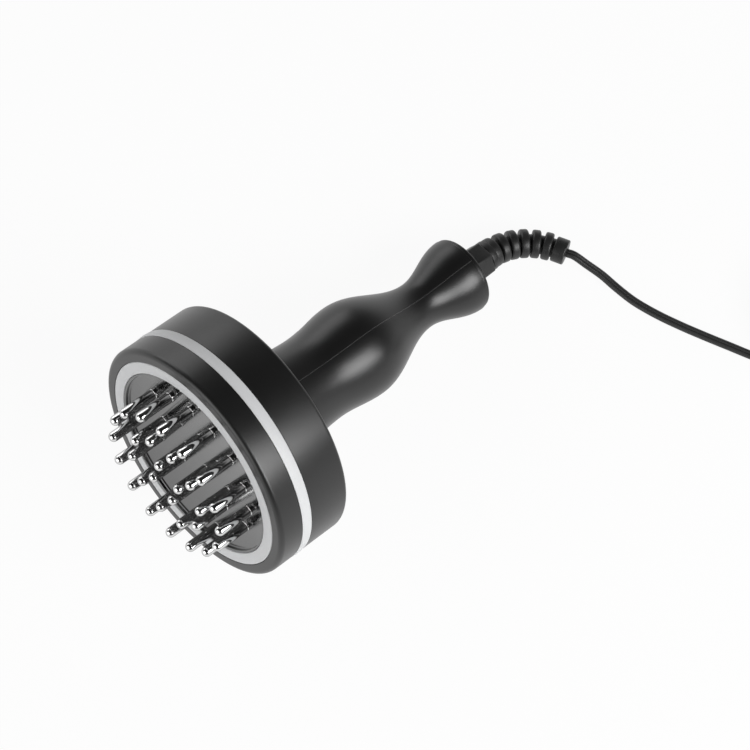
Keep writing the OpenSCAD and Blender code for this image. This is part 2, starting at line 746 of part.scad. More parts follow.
// Two wires from the board to the back of the motor
module motor_wires() {
    motor_back_y = motor_front_y - motor_len;
    neck_y = shell_wall + 0.1 + wire_r + 1.2 - neck_hole_r;
    neck_t = back_inner_t - flange_thick - 1;
    route = [[motor_back_y - 0.1, motor_t], [motor_back_y - 1.3, motor_t],
        [motor_back_y - 1.6, motor_t + 2], [motor_back_y - 1.6, bracket_base_t + 1],
        [neck_y, neck_t], [-2, (back_inner_t + board_start_t) / 2],
        [board_y - 2, board_start_t], [board_y - wire_r - 0.15, board_start_t + 4]];
    color([0.6, 0.1, 0.1]) device() for (x = [-wire_x, wire_x])
        swept([for (p = route) [x, p[0], p[1]]], wire_r, wire_sides);
}

// Puts a child at an angle along the bend of the strain relief, its own z axis along the lead
module on_bend(angle) {
    lay() translate([0, 0, relief_start_t]) rotate([0, 0, -90 - relief_bank])
        translate([relief_bend_r, 0, 0]) rotate([0, angle, 0]) translate([-relief_bend_r, 0, 0]) children();
}

// Ribbed strain relief: a collar on the block, a bent core with ribs that shrink, and an end collar
module strain_relief() {
    rib_angle = relief_turn / relief_ribs;
    color([0.12, 0.12, 0.13]) {
        lay() translate([0, 0, gland_end_t]) cylinder(r = rib_first_r + 0.2, h = relief_collar_len + bite);
        on_bend(0) translate([relief_bend_r, 0, 0]) mirror([1, 0, 0]) rotate([90, 0, 0])
            rotate_extrude(angle = relief_turn) translate([relief_bend_r, 0])
                circle(r = relief_core_r, $fn = 48);
        for (i = [0:relief_ribs - 1]) on_bend(rib_angle * (i + 0.35)) {
            r = rib_first_r + (rib_last_r - rib_first_r) * i / (relief_ribs - 1);
            translate([0, 0, -rib_w / 2]) rotate_extrude() polygon([[0, 0], [r - rib_edge, 0],
                [r, rib_edge], [r, rib_w - rib_edge], [r - rib_edge, rib_w], [0, rib_w]]);
        }
        on_bend(relief_turn) rotate_extrude() polygon([[0, -bite], [relief_end_r - rib_edge, -bite],
            [relief_end_r, rib_edge - bite], [relief_end_r, relief_end_len - rib_edge],
            [relief_end_r - rib_edge, relief_end_len], [0, relief_end_len]]);
    }
}

module cord() {
    color([0.1, 0.1, 0.1]) swept(cord_path, cord_r, cord_sides);
}

module cord_coil() {
    color([0.1, 0.1, 0.1]) swept(coil_path, cord_r, coil_sides);
}

module cord_tail() {
    color([0.1, 0.1, 0.1]) swept(tail_path, cord_r, cord_sides);
}

// Lies along the end of the lead, on the floor
module at_plug() {
    translate(tail_end) rotate([0, 0, coil_out_angle + 90]) rotate([0, 90, 0]) children();
}

// Moulded plug: a small tapered strain relief and a round grip
module plug_body() {
    end = plug_relief_len + plug_len;
    color([0.12, 0.12, 0.13]) at_plug() rotate_extrude() polygon([[0, 0], [2.4, 0],
        [3.2, plug_relief_len], [plug_r - 0.6, plug_relief_len], [plug_r, plug_relief_len + 0.8],
        [plug_r, end - 1.2], [plug_r - 1.2, end], [0, end]]);
}

// Round barrel contact with its bore
module plug_barrel() {
    color([0.8, 0.8, 0.78]) at_plug() translate([0, 0, plug_relief_len + plug_len]) difference() {
        cylinder(r = barrel_r, h = barrel_len);
        translate([0, 0, 0.8]) cylinder(r = 1.05, h = barrel_len, $fn = 48);
    }
}

massage_pins();
pin_plate();
pin_nuts();
heating_pad();
thermostat();
plate_carrier();
carrier_screws();
face_light_ring();
front_bezel();
side_light_band();
light_board();
light_emitters();
head_housing();
motor_bracket();
bracket_screws();
motor_can();
motor_shaft();
eccentric_weight();
handle_shell_front();
handle_shell_back();
heat_button();
vibration_button();
control_board();
board_switches();
lead_wires();
motor_wires();
handle_end_cap();
gland_block();
cord_clamp();
clamp_screws();
strain_relief();
cord();
cord_coil();
cord_tail();
plug_body();
plug_barrel();
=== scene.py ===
# %% [markdown]
# # A hand-held body massager
#
# This lesson dresses a construction model of a massager: a round head with thirty steel pins,
# two white light rings, a waisted handle in two shells, and a thin supply lead.
# The construction model gives every size and place, so each new piece is drawn straight where it belongs.

import math

import bpy
from mathutils import Matrix, Vector


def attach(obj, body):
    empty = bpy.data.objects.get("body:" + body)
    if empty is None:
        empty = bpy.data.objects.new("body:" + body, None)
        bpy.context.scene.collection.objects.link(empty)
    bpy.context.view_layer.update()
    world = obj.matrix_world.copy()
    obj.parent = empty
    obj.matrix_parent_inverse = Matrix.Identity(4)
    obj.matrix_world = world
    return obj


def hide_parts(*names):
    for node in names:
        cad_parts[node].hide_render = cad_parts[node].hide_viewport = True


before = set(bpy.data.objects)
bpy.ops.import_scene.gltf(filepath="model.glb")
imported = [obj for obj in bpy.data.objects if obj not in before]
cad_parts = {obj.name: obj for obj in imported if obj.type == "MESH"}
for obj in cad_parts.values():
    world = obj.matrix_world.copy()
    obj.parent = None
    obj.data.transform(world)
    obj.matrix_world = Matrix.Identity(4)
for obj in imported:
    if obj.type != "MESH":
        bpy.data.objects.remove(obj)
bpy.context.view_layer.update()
MM = 0.001
print("nodes in the frame:", len(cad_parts))

# %% [markdown]
# ## The device's own axis
#
# The massager lies on its side: the back edge of the head and the rim of the handle touch the table.
# Each piece could be modelled at that slant, but nearly all of them are turned shapes. So they are drawn
# round one upright axis instead, with heights measured from the face plane towards the lead, and one matrix
# lays the finished mesh down. All sizes are in millimetres.

# %% Lay a mesh on the table
LEAN = math.radians(17.3551)
ROLL = math.radians(6.4)
FACE_AT = Vector((-55.5436, 0, 54.3844)) * MM
LAY = Matrix.Translation(FACE_AT) @ Matrix.Rotation(math.pi / 2 + LEAN, 4, "Y")
DEVICE = LAY @ Matrix.Rotation(ROLL, 4, "Z")


def place(piece, matrix=DEVICE):
    """Moves the mesh, not the object, so that the object stays at the origin."""
    piece.data.transform(matrix)
    piece.data.update()
    return piece


print("the device leans", round(math.degrees(LEAN), 1), "degrees from level")

# %% [markdown]
# ## Camera
#
# The photograph was taken from almost straight above with a long lens. The camera could be moved by eye
# until the picture fits. It was worked out instead, from the ellipses of the face ring and of the side band
# and from the line of the handle's axis, so that the sizes can be trusted too.

# %% Camera
CAMERA_AT = Vector((-139.6, -199.3, 957.1)) * MM
LOOK_AT = Vector((24.8, -6.1, 0)) * MM
LENS, SENSOR = 124.8, 36
bpy.ops.object.camera_add(location=CAMERA_AT)
camera = bpy.context.object
camera.rotation_euler = (LOOK_AT - CAMERA_AT).to_track_quat("-Z", "Y").to_euler()
camera.data.sensor_width = SENSOR
camera.data.lens = LENS
camera.data.clip_start = 0.01
bpy.context.scene.camera = camera
print("camera distance", round((LOOK_AT - CAMERA_AT).length, 3), "m")

# %% [markdown]
# ## Shader maths as plain sums
#
# Materials are node trees, and their sums are tedious to wire by hand. This small class wraps one socket,
# so that `grain * 0.2 + 0.4` adds the Math nodes by itself. Every other node comes from `add_node`, which
# sets the node up first and then fills in its sockets with values or links.


# %% Sockets that can be added and multiplied
class Flow:
    def __init__(self, tree, socket):
        self.tree = tree
        self.socket = socket

    def math(self, kind, *others):
        """A Math node of a kind, with this flow as its first socket."""
        sockets = dict(enumerate((self,) + others))
        return add_node(self.tree, "Math", settings={"operation": kind}, sockets=sockets)

    def parts(self):
        """The x, y and z of a vector."""
        split = add_node(self.tree, "SeparateXYZ", sockets={0: self}).socket.node
        return [Flow(self.tree, socket) for socket in split.outputs]

    def __add__(self, other):
        return self.math("ADD", other)

    def __mul__(self, other):
        return self.math("MULTIPLY", other)

    def __rsub__(self, other):
        return (self * -1) + other

    __radd__ = __add__
    __rmul__ = __mul__


def feed(tree, slot, value):
    """Links a flow to a socket, or sets the socket's own value."""
    if isinstance(value, Flow):
        tree.links.new(value.socket, slot)
    else:
        slot.default_value = value


# %% One way to add any node
def set_stops(ramp, stops):
    """Grey stops of a colour ramp, as pairs of place and level."""
    while len(ramp.elements) < len(stops):
        ramp.elements.new(1.0)
    for element, (at, level) in zip(ramp.elements, stops):
        element.position = at
        element.color = (level, level, level, 1)


def add_node(tree, kind, out=0, settings=None, sockets=None, **named):
    """Adds a node of a kind: its settings, then its sockets by number or by name. Gives one output."""
    node = tree.nodes.new("ShaderNode" + kind)
    for key, value in (settings or {}).items():
        if key == "stops":
            set_stops(node.color_ramp, value)
        else:
            setattr(node, key, value)
    for number, value in (sockets or {}).items():
        feed(tree, node.inputs[number], value)
    for key, value in named.items():
        feed(tree, node.inputs[key.replace("_", " ")], value)
    return None if out is None else Flow(tree, node.outputs[out])


# %% [markdown]
# ## A finish
#
# A finish is one material. All patterns read Object coordinates, so that they stay put on the piece and
# need no unwrapping. Their scales count the features in a metre: 2600 is a grain of 0.4 mm.


# %% The frame of every finish
class Finish:
    """A new material with its Principled shader, and the few patterns that the finishes share."""

    def __init__(self, name):
        self.material = bpy.data.materials.new(name)
        self.material.use_nodes = True
        self.tree = self.material.node_tree
        self.shader = self.tree.nodes["Principled BSDF"]
        self.place = self.node("TexCoord", out="Object")

    def node(self, kind, out=0, settings=None, sockets=None, **named):
        return add_node(self.tree, kind, out, settings, sockets, **named)

    def noise(self, scale, detail=2.0, roughness=0.5):
        return self.node("TexNoise", Vector=self.place, Scale=scale, Detail=detail, Roughness=roughness)

    def mix(self, amount, low, high):
        return self.node("Mix", out=2, settings={"data_type": "RGBA"}, sockets={0: amount, 6: low, 7: high})

    def ramp(self, value, stops):
        return self.node("ValToRGB", settings={"stops": stops}, sockets={0: value})

    def bump(self, height, depth):
        """A bump whose full height is a depth in millimetres."""
        return self.node("Bump", Height=height, Distance=depth * MM)

    def on_device(self):
        """Object coordinates turned upright: x and y across the device's axis, z along it from the face."""
        upright = DEVICE.inverted()
        turned = self.node(
            "Mapping", Vector=self.place, Rotation=upright.to_euler(), Location=upright.to_translation())
        return turned.parts()

    def set(self, **values):
        for key, value in values.items():
            feed(self.tree, self.shader.inputs[key.replace("_", " ")], value)
        return self.material


def grey(level, warm=0.0):
    """A grey from 0 to 1. A warm above 0 leans it to red, and one below 0 leans it to blue."""
    return (level * (1 + warm), level, level * (1 - warm), 1)


# %% [markdown]
# ## Black moulded plastic
#
# The head and handle are one kind of plastic with a satin mould finish. A plain dark colour would look like
# painted card, so three patterns are laid over each other: a fine grain, a few paler specks, and a slow
# drift of the gloss where the palm has handled it. Along the handle's parting plane a painted highlight is
# added: a hair of lighter colour where the seam's edge catches the light. It is only 0.3 mm wide, so it is
# painted by its distance from that plane.

# %% Satin plastic
SEAM_HIGHLIGHT_HALF_W, SEAM_HIGHLIGHT_FROM, SEAM_HIGHLIGHT_TO = 0.17, 31.7, 133.1


def satin_plastic(name, level, gloss):
    f = Finish(name)
    grain = f.noise(2600, 3, 0.6)
    handling = f.noise(38, 4, 0.55)
    specks = f.ramp(f.noise(900, 2, 0.7), [(0.0, 0.0), (0.66, 0.0), (0.8, 1.0)])
    base = f.mix(handling, grey(level * 0.85), grey(level * 1.2))
    base = f.mix(specks * 0.06, base, grey(level * 3 + 0.01))
    _, across, along = f.on_device()
    # painted highlight: a thin lighter line along the handle's parting plane stands in for light caught at the
    # seam
    painted_seam_highlight = across.math("ABSOLUTE").math("LESS_THAN", SEAM_HIGHLIGHT_HALF_W * MM)
    seam_highlight_span = along.math("GREATER_THAN", SEAM_HIGHLIGHT_FROM * MM) * along.math("LESS_THAN", SEAM_HIGHLIGHT_TO * MM)
    base = f.mix(painted_seam_highlight * seam_highlight_span, base, grey(level * 2 + 0.06))
    return f.set(
        Base_Color=base, Roughness=handling * 0.12 + grain * 0.05 + gloss,
        Normal=f.bump(grain, 0.012), IOR=1.54)


black = satin_plastic("black_satin_plastic", 0.0075, 0.25)
button_black = satin_plastic("button_plastic", 0.05, 0.36)
carrier_black = satin_plastic("inner_plastic", 0.04, 0.5)
print("satin plastics:", [m.name for m in (black, button_black, carrier_black)])

# %% [markdown]
# ## Milky light guide
#
# The two white rings are a frosted plastic that spreads the light of the lamps behind it. Unlit it is a
# cool pale grey with a fine sandy grain. A little light is let under the surface, which softens the edges
# in a way that no paint would.


# %% Frosted white plastic
def frosted_plastic(name, level):
    f = Finish(name)
    sand = f.noise(1900, 3, 0.7)
    cloud = f.noise(120, 3, 0.6)
    base = f.mix(sand, grey(level * 0.9, -0.012), grey(min(1.0, level * 1.08), -0.006))
    base = f.mix(cloud * 0.25, base, grey(level * 0.94, -0.02))
    return f.set(
        Base_Color=base, Roughness=sand * 0.15 + 0.45, Normal=f.bump(sand, 0.012),
        Subsurface_Weight=0.15, Subsurface_Radius=(2 * MM, 2 * MM, 2 * MM), Subsurface_Scale=0.5)


frosted = frosted_plastic("frosted_white_plastic", 0.7)
print("light guide:", frosted.name)

# %% [markdown]
# ## Polished metals
#
# The pins are chromed and very smooth, with faint scuffs. Chrome dims a little where it is seen at a
# glancing angle, which draws a thin dark line round each ball, so its edge tint is low. The plate under the
# pins has fine turning marks that run round it in circles. They could be modelled as grooves, but at this
# size a bump driven by the distance from the axis does the same.


# %% Polished metal
def polished_metal(name, level, rough, scuff_depth=0.002, warm=0.0, wear=0.06, edge=1.0):
    f = Finish(name)
    scuffs = f.noise(420, 5, 0.65)
    smears = f.noise(90, 3, 0.5)
    return f.set(
        Base_Color=f.mix(smears, grey(level, warm), grey(min(1.0, level * 1.1), warm)), Metallic=1.0,
        Roughness=scuffs * wear + rough, Normal=f.bump(scuffs, scuff_depth), Specular_Tint=grey(edge))


chrome = polished_metal("chromed_pins", 0.68, 0.03, 0.0004, wear=0.03, edge=0.35)
zinc = polished_metal("zinc_screws", 0.55, 0.3, 0.006)
motor_steel = polished_metal("drawn_steel", 0.6, 0.28, 0.004)
brass = polished_metal("brass_weight", 0.62, 0.3, 0.006, warm=0.3)
plug_metal = polished_metal("plated_barrel", 0.78, 0.14, 0.002, warm=0.02)
print("metals:", [m.name for m in (chrome, zinc, motor_steel, brass, plug_metal)])

# %% Turned steel
TURNING_MARKS = 14000


def turned_metal(name, level, rough):
    """Rings round the device's axis: the distance from it drives a fine wave."""
    f = Finish(name)
    x, y, _ = f.on_device()
    radius = (x * x + y * y).math("SQRT")
    rings = (radius * TURNING_MARKS).math("SINE") * 0.5 + 0.5
    stain = f.noise(150, 4, 0.6)
    return f.set(
        Base_Color=f.mix(stain, grey(level * 0.9), grey(level * 1.1)), Metallic=1.0,
        Roughness=stain * 0.08 + rough, Normal=f.bump(rings, 0.0012))


plate_steel = turned_metal("turned_plate", 0.135, 0.12)
print("turned metal:", plate_steel.name)

# %% [markdown]
# ## Soft black plastic of the lead
#
# The strain relief and the lead's sheath are soft, and duller than the handle. The grain is coarser, and
# handling has left the high spots a trace lighter. The satin plastic could be used for them too, but then
# the lead would look as hard as the handle.


# %% Soft sheath and small parts
def soft_rubber(name, level, rough, grain_scale=1500):
    f = Finish(name)
    grain = f.noise(grain_scale, 4, 0.65)
    rubbed = f.noise(160, 3, 0.6)
    return f.set(
        Base_Color=f.mix(rubbed, grey(level * 0.8), grey(level * 1.35)),
        Roughness=rubbed * 0.14 + grain * 0.08 + rough, Normal=f.bump(grain, 0.02))


def coloured(name, low, high, rough):
    f = Finish(name)
    mottle = f.noise(300, 4, 0.6)
    return f.set(
        Base_Color=f.mix(mottle, low + (1,), high + (1,)), Roughness=mottle * 0.15 + rough,
        Normal=f.bump(mottle, 0.01))


relief_black = soft_rubber("relief_soft_plastic", 0.014, 0.3)
sheath_black = soft_rubber("lead_sheath", 0.02, 0.32, 2200)
board_green = coloured("green_board", (0.02, 0.12, 0.05), (0.03, 0.19, 0.08), 0.35)
emitter_resin = coloured("emitter_resin", (0.8, 0.75, 0.45), (0.9, 0.86, 0.6), 0.3)
film_brown = coloured("heating_film", (0.30, 0.13, 0.03), (0.42, 0.2, 0.05), 0.4)
wire_red = coloured("red_wire", (0.35, 0.02, 0.02), (0.45, 0.04, 0.03), 0.45)
ceramic = coloured("ceramic_body", (0.62, 0.61, 0.56), (0.72, 0.71, 0.66), 0.5)
print("finishes in all:", len(bpy.data.materials))

# %% [markdown]
# ## The works inside
#
# The motor, its weight, the boards, the wires and the screws are sealed in. They could be modelled again,
# but nobody sees them unless the massager is opened, so the construction model's own meshes are kept as
# they are, and each only gets its finish.

# %% Finish the inner nodes
NODE_FINISH = {
    "pin_nuts": zinc, "heating_pad": film_brown, "thermostat": ceramic, "plate_carrier": carrier_black,
    "carrier_screws": zinc, "light_board": board_green, "light_emitters": emitter_resin,
    "motor_bracket": motor_steel, "bracket_screws": zinc, "motor_can": motor_steel, "motor_shaft": zinc,
    "eccentric_weight": brass, "control_board": board_green, "board_switches": carrier_black,
    "lead_wires": sheath_black, "motor_wires": wire_red, "cord_clamp": carrier_black, "clamp_screws": zinc,
}
for node_name, finish in NODE_FINISH.items():
    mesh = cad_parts[node_name].data
    mesh.materials.clear()
    mesh.materials.append(finish)
print("inner nodes finished:", len(NODE_FINISH))

# %% [markdown]
# ## Drawing and turning a profile
#
# Most pieces here are turned. A cylinder could be cut and scaled ring by ring, but it is quicker to do what
# a turner does: one vertex is drawn along half of the section by extruding it point by point, and the line
# is then spun round the axis. Merging the doubles closes the seam and the poles, and a half turn gets its
# two flat sides filled.

# %% Helpers for edit mode
WELD = 0.002


def deselect():
    if bpy.context.object and bpy.context.object.mode != "OBJECT":
        bpy.ops.object.mode_set(mode="OBJECT")
    bpy.ops.object.select_all(action="DESELECT")


def pick(*pieces):
    """Selects pieces and nothing else. The first one is the active one."""
    deselect()
    for piece in pieces:
        piece.select_set(True)
    bpy.context.view_layer.objects.active = pieces[0]
    return pieces[0]


def close_mesh(merge=0.0):
    """From edit mode: merges doubles, turns all faces outwards, and leaves edit mode."""
    bpy.ops.mesh.select_all(action="SELECT")
    if merge:
        bpy.ops.mesh.remove_doubles(threshold=merge * MM)
    bpy.ops.mesh.normals_make_consistent(inside=False)
    bpy.ops.object.mode_set(mode="OBJECT")


# %% Lathe
def draw_line(name, points):
    """A line of edges through points given in millimetres, drawn by extruding one vertex."""
    deselect()
    bpy.ops.mesh.primitive_plane_add(size=MM)
    piece = bpy.context.object
    piece.name = piece.data.name = name
    bpy.ops.object.mode_set(mode="EDIT")
    bpy.ops.mesh.select_mode(type="VERT")
    bpy.ops.mesh.select_all(action="SELECT")
    bpy.ops.mesh.merge(type="CENTER")
    steps = [Vector(p) * MM for p in points]
    bpy.ops.transform.translate(value=steps[0])
    for here, there in zip(steps, steps[1:]):
        bpy.ops.mesh.extrude_region_move(TRANSFORM_OT_translate={"value": there - here})
    bpy.ops.mesh.select_all(action="SELECT")
    return piece


def smooth(piece, degrees=32):
    pick(piece)
    bpy.ops.object.shade_smooth_by_angle(angle=math.radians(degrees))
    return piece


def lathe(name, profile, segments=128, turn=360, smooth_angle=32):
    """Turns a closed section of (radius, height) points round the z axis."""
    piece = draw_line(name, [(r, 0, t) for r, t in profile])
    bpy.ops.mesh.spin(steps=segments, angle=math.radians(turn), center=(0, 0, 0), axis=(0, 0, 1))
    bpy.ops.mesh.select_all(action="SELECT")
    bpy.ops.mesh.remove_doubles(threshold=WELD * MM)
    if turn < 360:
        bpy.ops.mesh.select_all(action="DESELECT")
        bpy.ops.mesh.select_non_manifold()
        bpy.ops.mesh.edge_face_add()
    close_mesh()
    return smooth(piece, smooth_angle)


def arc(centre, radius, first, last, steps=6):
    """Points of a rounded corner, angles in degrees from the outward direction."""
    angles = [math.radians(first + (last - first) * i / steps) for i in range(steps + 1)]
    return [(centre[0] + radius * math.cos(a), centre[1] + radius * math.sin(a)) for a in angles]


# %% Finishing a piece
def dress(piece, finish, slot, body, *nodes):
    """Gives a piece its material, and makes it ride on its body in place of CAD nodes. The slot is not used.
    """
    piece.data.materials.clear()
    piece.data.materials.append(finish)
    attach(piece, body)
    if nodes:
        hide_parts(*nodes)
    return piece


def apply_modifiers(piece):
    pick(piece)
    for modifier in list(piece.modifiers):
        bpy.ops.object.modifier_apply(modifier=modifier.name)
    return piece


def join(parts, name):
    """Makes one piece of several."""
    piece = pick(*parts)
    bpy.ops.object.join()
    piece.name = piece.data.name = name
    return piece


print("helpers ready; doubles are welded below", WELD, "mm")

# %% [markdown]
# ## The head
#
# The head is a short drum: a front rim with a generous rounding, a white ring let into it, the white
# band round the side, and the back shell. It could be one drum with painted stripes, but the real one is
# put together from four mouldings, and the gaps between them are what the eye goes by. So each is turned
# by itself, with small lips that make fine shadow lines.

# %% Head sizes
HEAD_R, HEAD_DEPTH = 47.5, 31.6
BAND_T, BAND_W, BAND_PROUD = 10.1, 4.2, 0.25
BAND_END = BAND_T + BAND_W
RING_OUT, RING_IN, RING_FLANGE, RING_EDGE, RING_MOUTH = 42.6, 37.9, 2.5, 0.3, 0.08
EDGE_R, BACK_EDGE_R, LIP, FIT = 2.0, 1.5, 0.25, 0.05
RIM_BORE = 41
SKIRT_OUT, SKIRT_IN, SKIRT_END = RIM_BORE - FIT, 39, 10.7
SPIGOT_R, SPIGOT_WALL, SPIGOT_LEN, SPIGOT_GAP = 44.6, 1.6, 3.0, 0.1
SPIGOT_BORE = SPIGOT_R - SPIGOT_WALL
BACK_T = HEAD_DEPTH - 2.4
NECK_HOLE_R, CORNER_R, CORNER_LEN = 16, 43.6, 1.5
print("head", 2 * HEAD_R, "mm across and", HEAD_DEPTH, "mm deep")

# %% Front rim and face ring
rim_seat = BAND_T - SPIGOT_LEN - SPIGOT_GAP
rim_section = arc((HEAD_R - EDGE_R, EDGE_R), EDGE_R, 0, -90, 12) + [
    (RING_OUT + LIP, 0), (RING_OUT + RING_MOUTH, LIP), (RING_OUT + FIT, RING_FLANGE), (RIM_BORE, RING_FLANGE),
    (RIM_BORE, rim_seat), (SPIGOT_R + FIT, rim_seat),
    (SPIGOT_R + FIT, BAND_T), (HEAD_R - LIP, BAND_T), (HEAD_R, BAND_T - LIP), (HEAD_R, EDGE_R)]
front_rim = place(lathe("front_rim", rim_section, 192))
dress(front_rim, black, "black_plastic", "massager", "front_bezel")

outer_edge = arc((RING_OUT - RING_EDGE, RING_EDGE), RING_EDGE, -90, 0, 3)
inner_edge = arc((RING_IN + RING_EDGE, RING_EDGE), RING_EDGE, 180, 270, 3)
ring_section = [(RING_IN + RING_EDGE, 0), (RING_OUT - RING_EDGE, 0)] + outer_edge + [
    (RING_OUT, RING_FLANGE), (SKIRT_OUT, RING_FLANGE), (SKIRT_OUT, SKIRT_END), (SKIRT_IN, SKIRT_END),
    (SKIRT_IN, RING_FLANGE), (RING_IN, RING_FLANGE)] + inner_edge
face_ring = place(lathe("face_ring", ring_section, 192))
dress(face_ring, frosted, "white_diffuser", "massager", "face_light_ring")
print("rim and ring:", [len(p.data.polygons) for p in (front_rim, face_ring)], "faces")

# %% [markdown]
# The side band stands a quarter of a millimetre proud in one shallow arc. That crown is what gives it two
# crisp edges, where a band level with the head would have none.


# %% Side band
def band_crown(steps=12):
    """The band's outer face, from its front edge to its back edge."""
    crown_r = (BAND_W ** 2 / 4 + BAND_PROUD ** 2) / (2 * BAND_PROUD)
    centre = HEAD_R + BAND_PROUD - crown_r
    offsets = [BAND_W * (i / steps - 0.5) for i in range(steps + 1)]
    return [(centre + math.sqrt(crown_r ** 2 - d ** 2), BAND_T + BAND_W / 2 + d) for d in offsets]


band_section = [
    (SPIGOT_BORE, BAND_T - SPIGOT_LEN), (SPIGOT_R, BAND_T - SPIGOT_LEN), (SPIGOT_R, BAND_T)] + band_crown() + [
    (SPIGOT_R, BAND_END), (SPIGOT_R, BAND_END + SPIGOT_LEN), (SPIGOT_BORE, BAND_END + SPIGOT_LEN),
    (SPIGOT_BORE, BAND_T - SPIGOT_LEN)]
side_band = place(lathe("side_band", band_section, 192))
dress(side_band, frosted, "white_diffuser", "massager", "side_light_band")
print("side band:", len(side_band.data.polygons), "faces")

# %% Back shell
shell_seat = BAND_END + SPIGOT_LEN + SPIGOT_GAP
shell_section = [(SPIGOT_R + FIT, BAND_END), (HEAD_R - LIP, BAND_END), (HEAD_R, BAND_END + LIP)] + arc(
    (HEAD_R - BACK_EDGE_R, HEAD_DEPTH - BACK_EDGE_R), BACK_EDGE_R, 0, 90, 10) + [
    (NECK_HOLE_R, HEAD_DEPTH), (NECK_HOLE_R, BACK_T), (CORNER_R, BACK_T), (SPIGOT_BORE, BACK_T - CORNER_LEN),
    (SPIGOT_BORE, shell_seat), (SPIGOT_R + FIT, shell_seat), (SPIGOT_R + FIT, BAND_END)]
head_shell = place(lathe("head_shell", shell_section, 192))
dress(head_shell, black, "black_plastic", "massager", "head_housing")
print("head pieces:", [p.name for p in (front_rim, face_ring, side_band, head_shell)])

# %% [markdown]
# ## The pin plate
#
# The plate is dished: a flat floor with a low raised lip round it, just below the face ring. A flat disc
# would do for a look from far off, but the lip casts the dark line that parts the ring from the steel.

# %% Plate
PLATE_R, RECESS, PLATE_THICK = 37.8, 1.7, 1.5
PLATE_LIP_W, PLATE_LIP_T, PLATE_CHAMFER, PLATE_FILLET = 0.9, 0.3, 0.15, 0.6
floor_r = PLATE_R - PLATE_LIP_W - PLATE_FILLET
fillet = arc((floor_r, RECESS - PLATE_FILLET), PLATE_FILLET, 90, 0, 4)
plate_section = [(0, RECESS), (floor_r, RECESS)] + fillet + [
    (PLATE_R - PLATE_LIP_W, PLATE_LIP_T + PLATE_CHAMFER), (PLATE_R - PLATE_LIP_W + PLATE_CHAMFER, PLATE_LIP_T),
    (PLATE_R - PLATE_CHAMFER, PLATE_LIP_T), (PLATE_R, PLATE_LIP_T + PLATE_CHAMFER),
    (PLATE_R, RECESS + PLATE_THICK), (0, RECESS + PLATE_THICK)]
dish = place(lathe("pin_dish", plate_section, 160))
dress(dish, plate_steel, "plate_steel", "massager", "pin_plate")
print("plate:", 2 * PLATE_R, "mm across")

# %% [markdown]
# ## The pins
#
# Thirty identical pins stand in circles of 16, 10 and 4. A pin is a straight shaft with a ball end and a
# narrow waist over its foot. An array modifier can't set three circles of different sizes, so one pin is
# turned and copied round by a loop, and the copies are joined as one set, as the pins of one massager are.

# %% One pin
PIN_R, PIN_REACH, NUT_BACK = 1.95, 12.0, 5.8
WAIST_R, COLLAR_R, COLLAR_EDGE = PIN_R - 0.1, PIN_R + 0.1, 0.04
WAIST_FROM, WAIST_TO, WAIST_FLANK, COLLAR_T = 0.3, 0.9, 0.15, 1.0
STUD_R, STUD_END = 1.25, NUT_BACK + 0.4
ball = arc((0, -PIN_REACH), PIN_R, -82, 0, 10)
foot = [(PIN_R, WAIST_FROM), (WAIST_R, WAIST_FROM + WAIST_FLANK), (WAIST_R, WAIST_TO - WAIST_FLANK),
        (COLLAR_R - COLLAR_EDGE, WAIST_TO), (COLLAR_R, COLLAR_T), (COLLAR_R, RECESS)]
stud = [(STUD_R, RECESS), (STUD_R, STUD_END), (0, STUD_END)]
pin_section = [(0, -PIN_REACH - PIN_R)] + ball + foot + stud
first_pin = lathe("one_pin", pin_section, 32, smooth_angle=40)
print("one pin:", len(first_pin.data.polygons), "faces")

# %% Three circles of pins
PIN_CIRCLES = ((16, 29.0, -3.0), (10, 18.5, 24.5), (4, 7.6, 41.0))
spots = [(r, math.radians(start + 360 * i / count)) for count, r, start in PIN_CIRCLES for i in range(count)]
pins = []
for r, a in spots:
    pin = first_pin.copy()
    pin.data = first_pin.data.copy()
    bpy.context.collection.objects.link(pin)
    pins.append(place(pin, DEVICE @ Matrix.Rotation(a, 4, "Z") @ Matrix.Translation((r * MM, 0, 0))))
bpy.data.objects.remove(first_pin)
pin_set = join(pins, "massage_pin_set")
dress(pin_set, chrome, "pin_steel", "massager", "massage_pins")
print("pins:", len(spots))

# %% [markdown]
# ## The handle
#
# The handle is a turned shape too: two waists with a bulb between them for the palm, and a flared end.
# A free curve could draw it, but cosine curves between five measured radii give the same even swell, and
# they say what the radius is at any height. The buttons need to know that.

# %% Outline of the handle
STATIONS = [(HEAD_DEPTH, 19.4), (59, 17.2), (78.5, 19.1), (111, 9.45), (133.2, 15.2)]
HANDLE_END, SHELL_WALL, BORE_FROM, BORE_STEP = 135.0, 2.2, HEAD_DEPTH + 4, 4
NECK_R, NECK_FLANGE_R, NECK_FLANGE_W = 15.9, 21, 2.2
SOCKET_R, SOCKET_T = 11.55, 129.0
SHELL_END = STATIONS[-1][0]
SEAT_GAP, END_CHAMFER = 0.02, 0.2


def outline_r(t):
    """Radius of the handle at a distance from the face: cosine curves between the stations."""
    for (t0, r0), (t1, r1) in zip(STATIONS, STATIONS[1:]):
        if t <= t1:
            return r0 + (r1 - r0) * (1 - math.cos(math.pi * (t - t0) / (t1 - t0))) / 2
    return STATIONS[-1][1]


def outline(first, last, inset=0.0, step=1.25):
    count = math.ceil((last - first) / step)
    stops = [first + (last - first) * i / count for i in range(count + 1)]
    return [(outline_r(t) - inset, t) for t in stops]


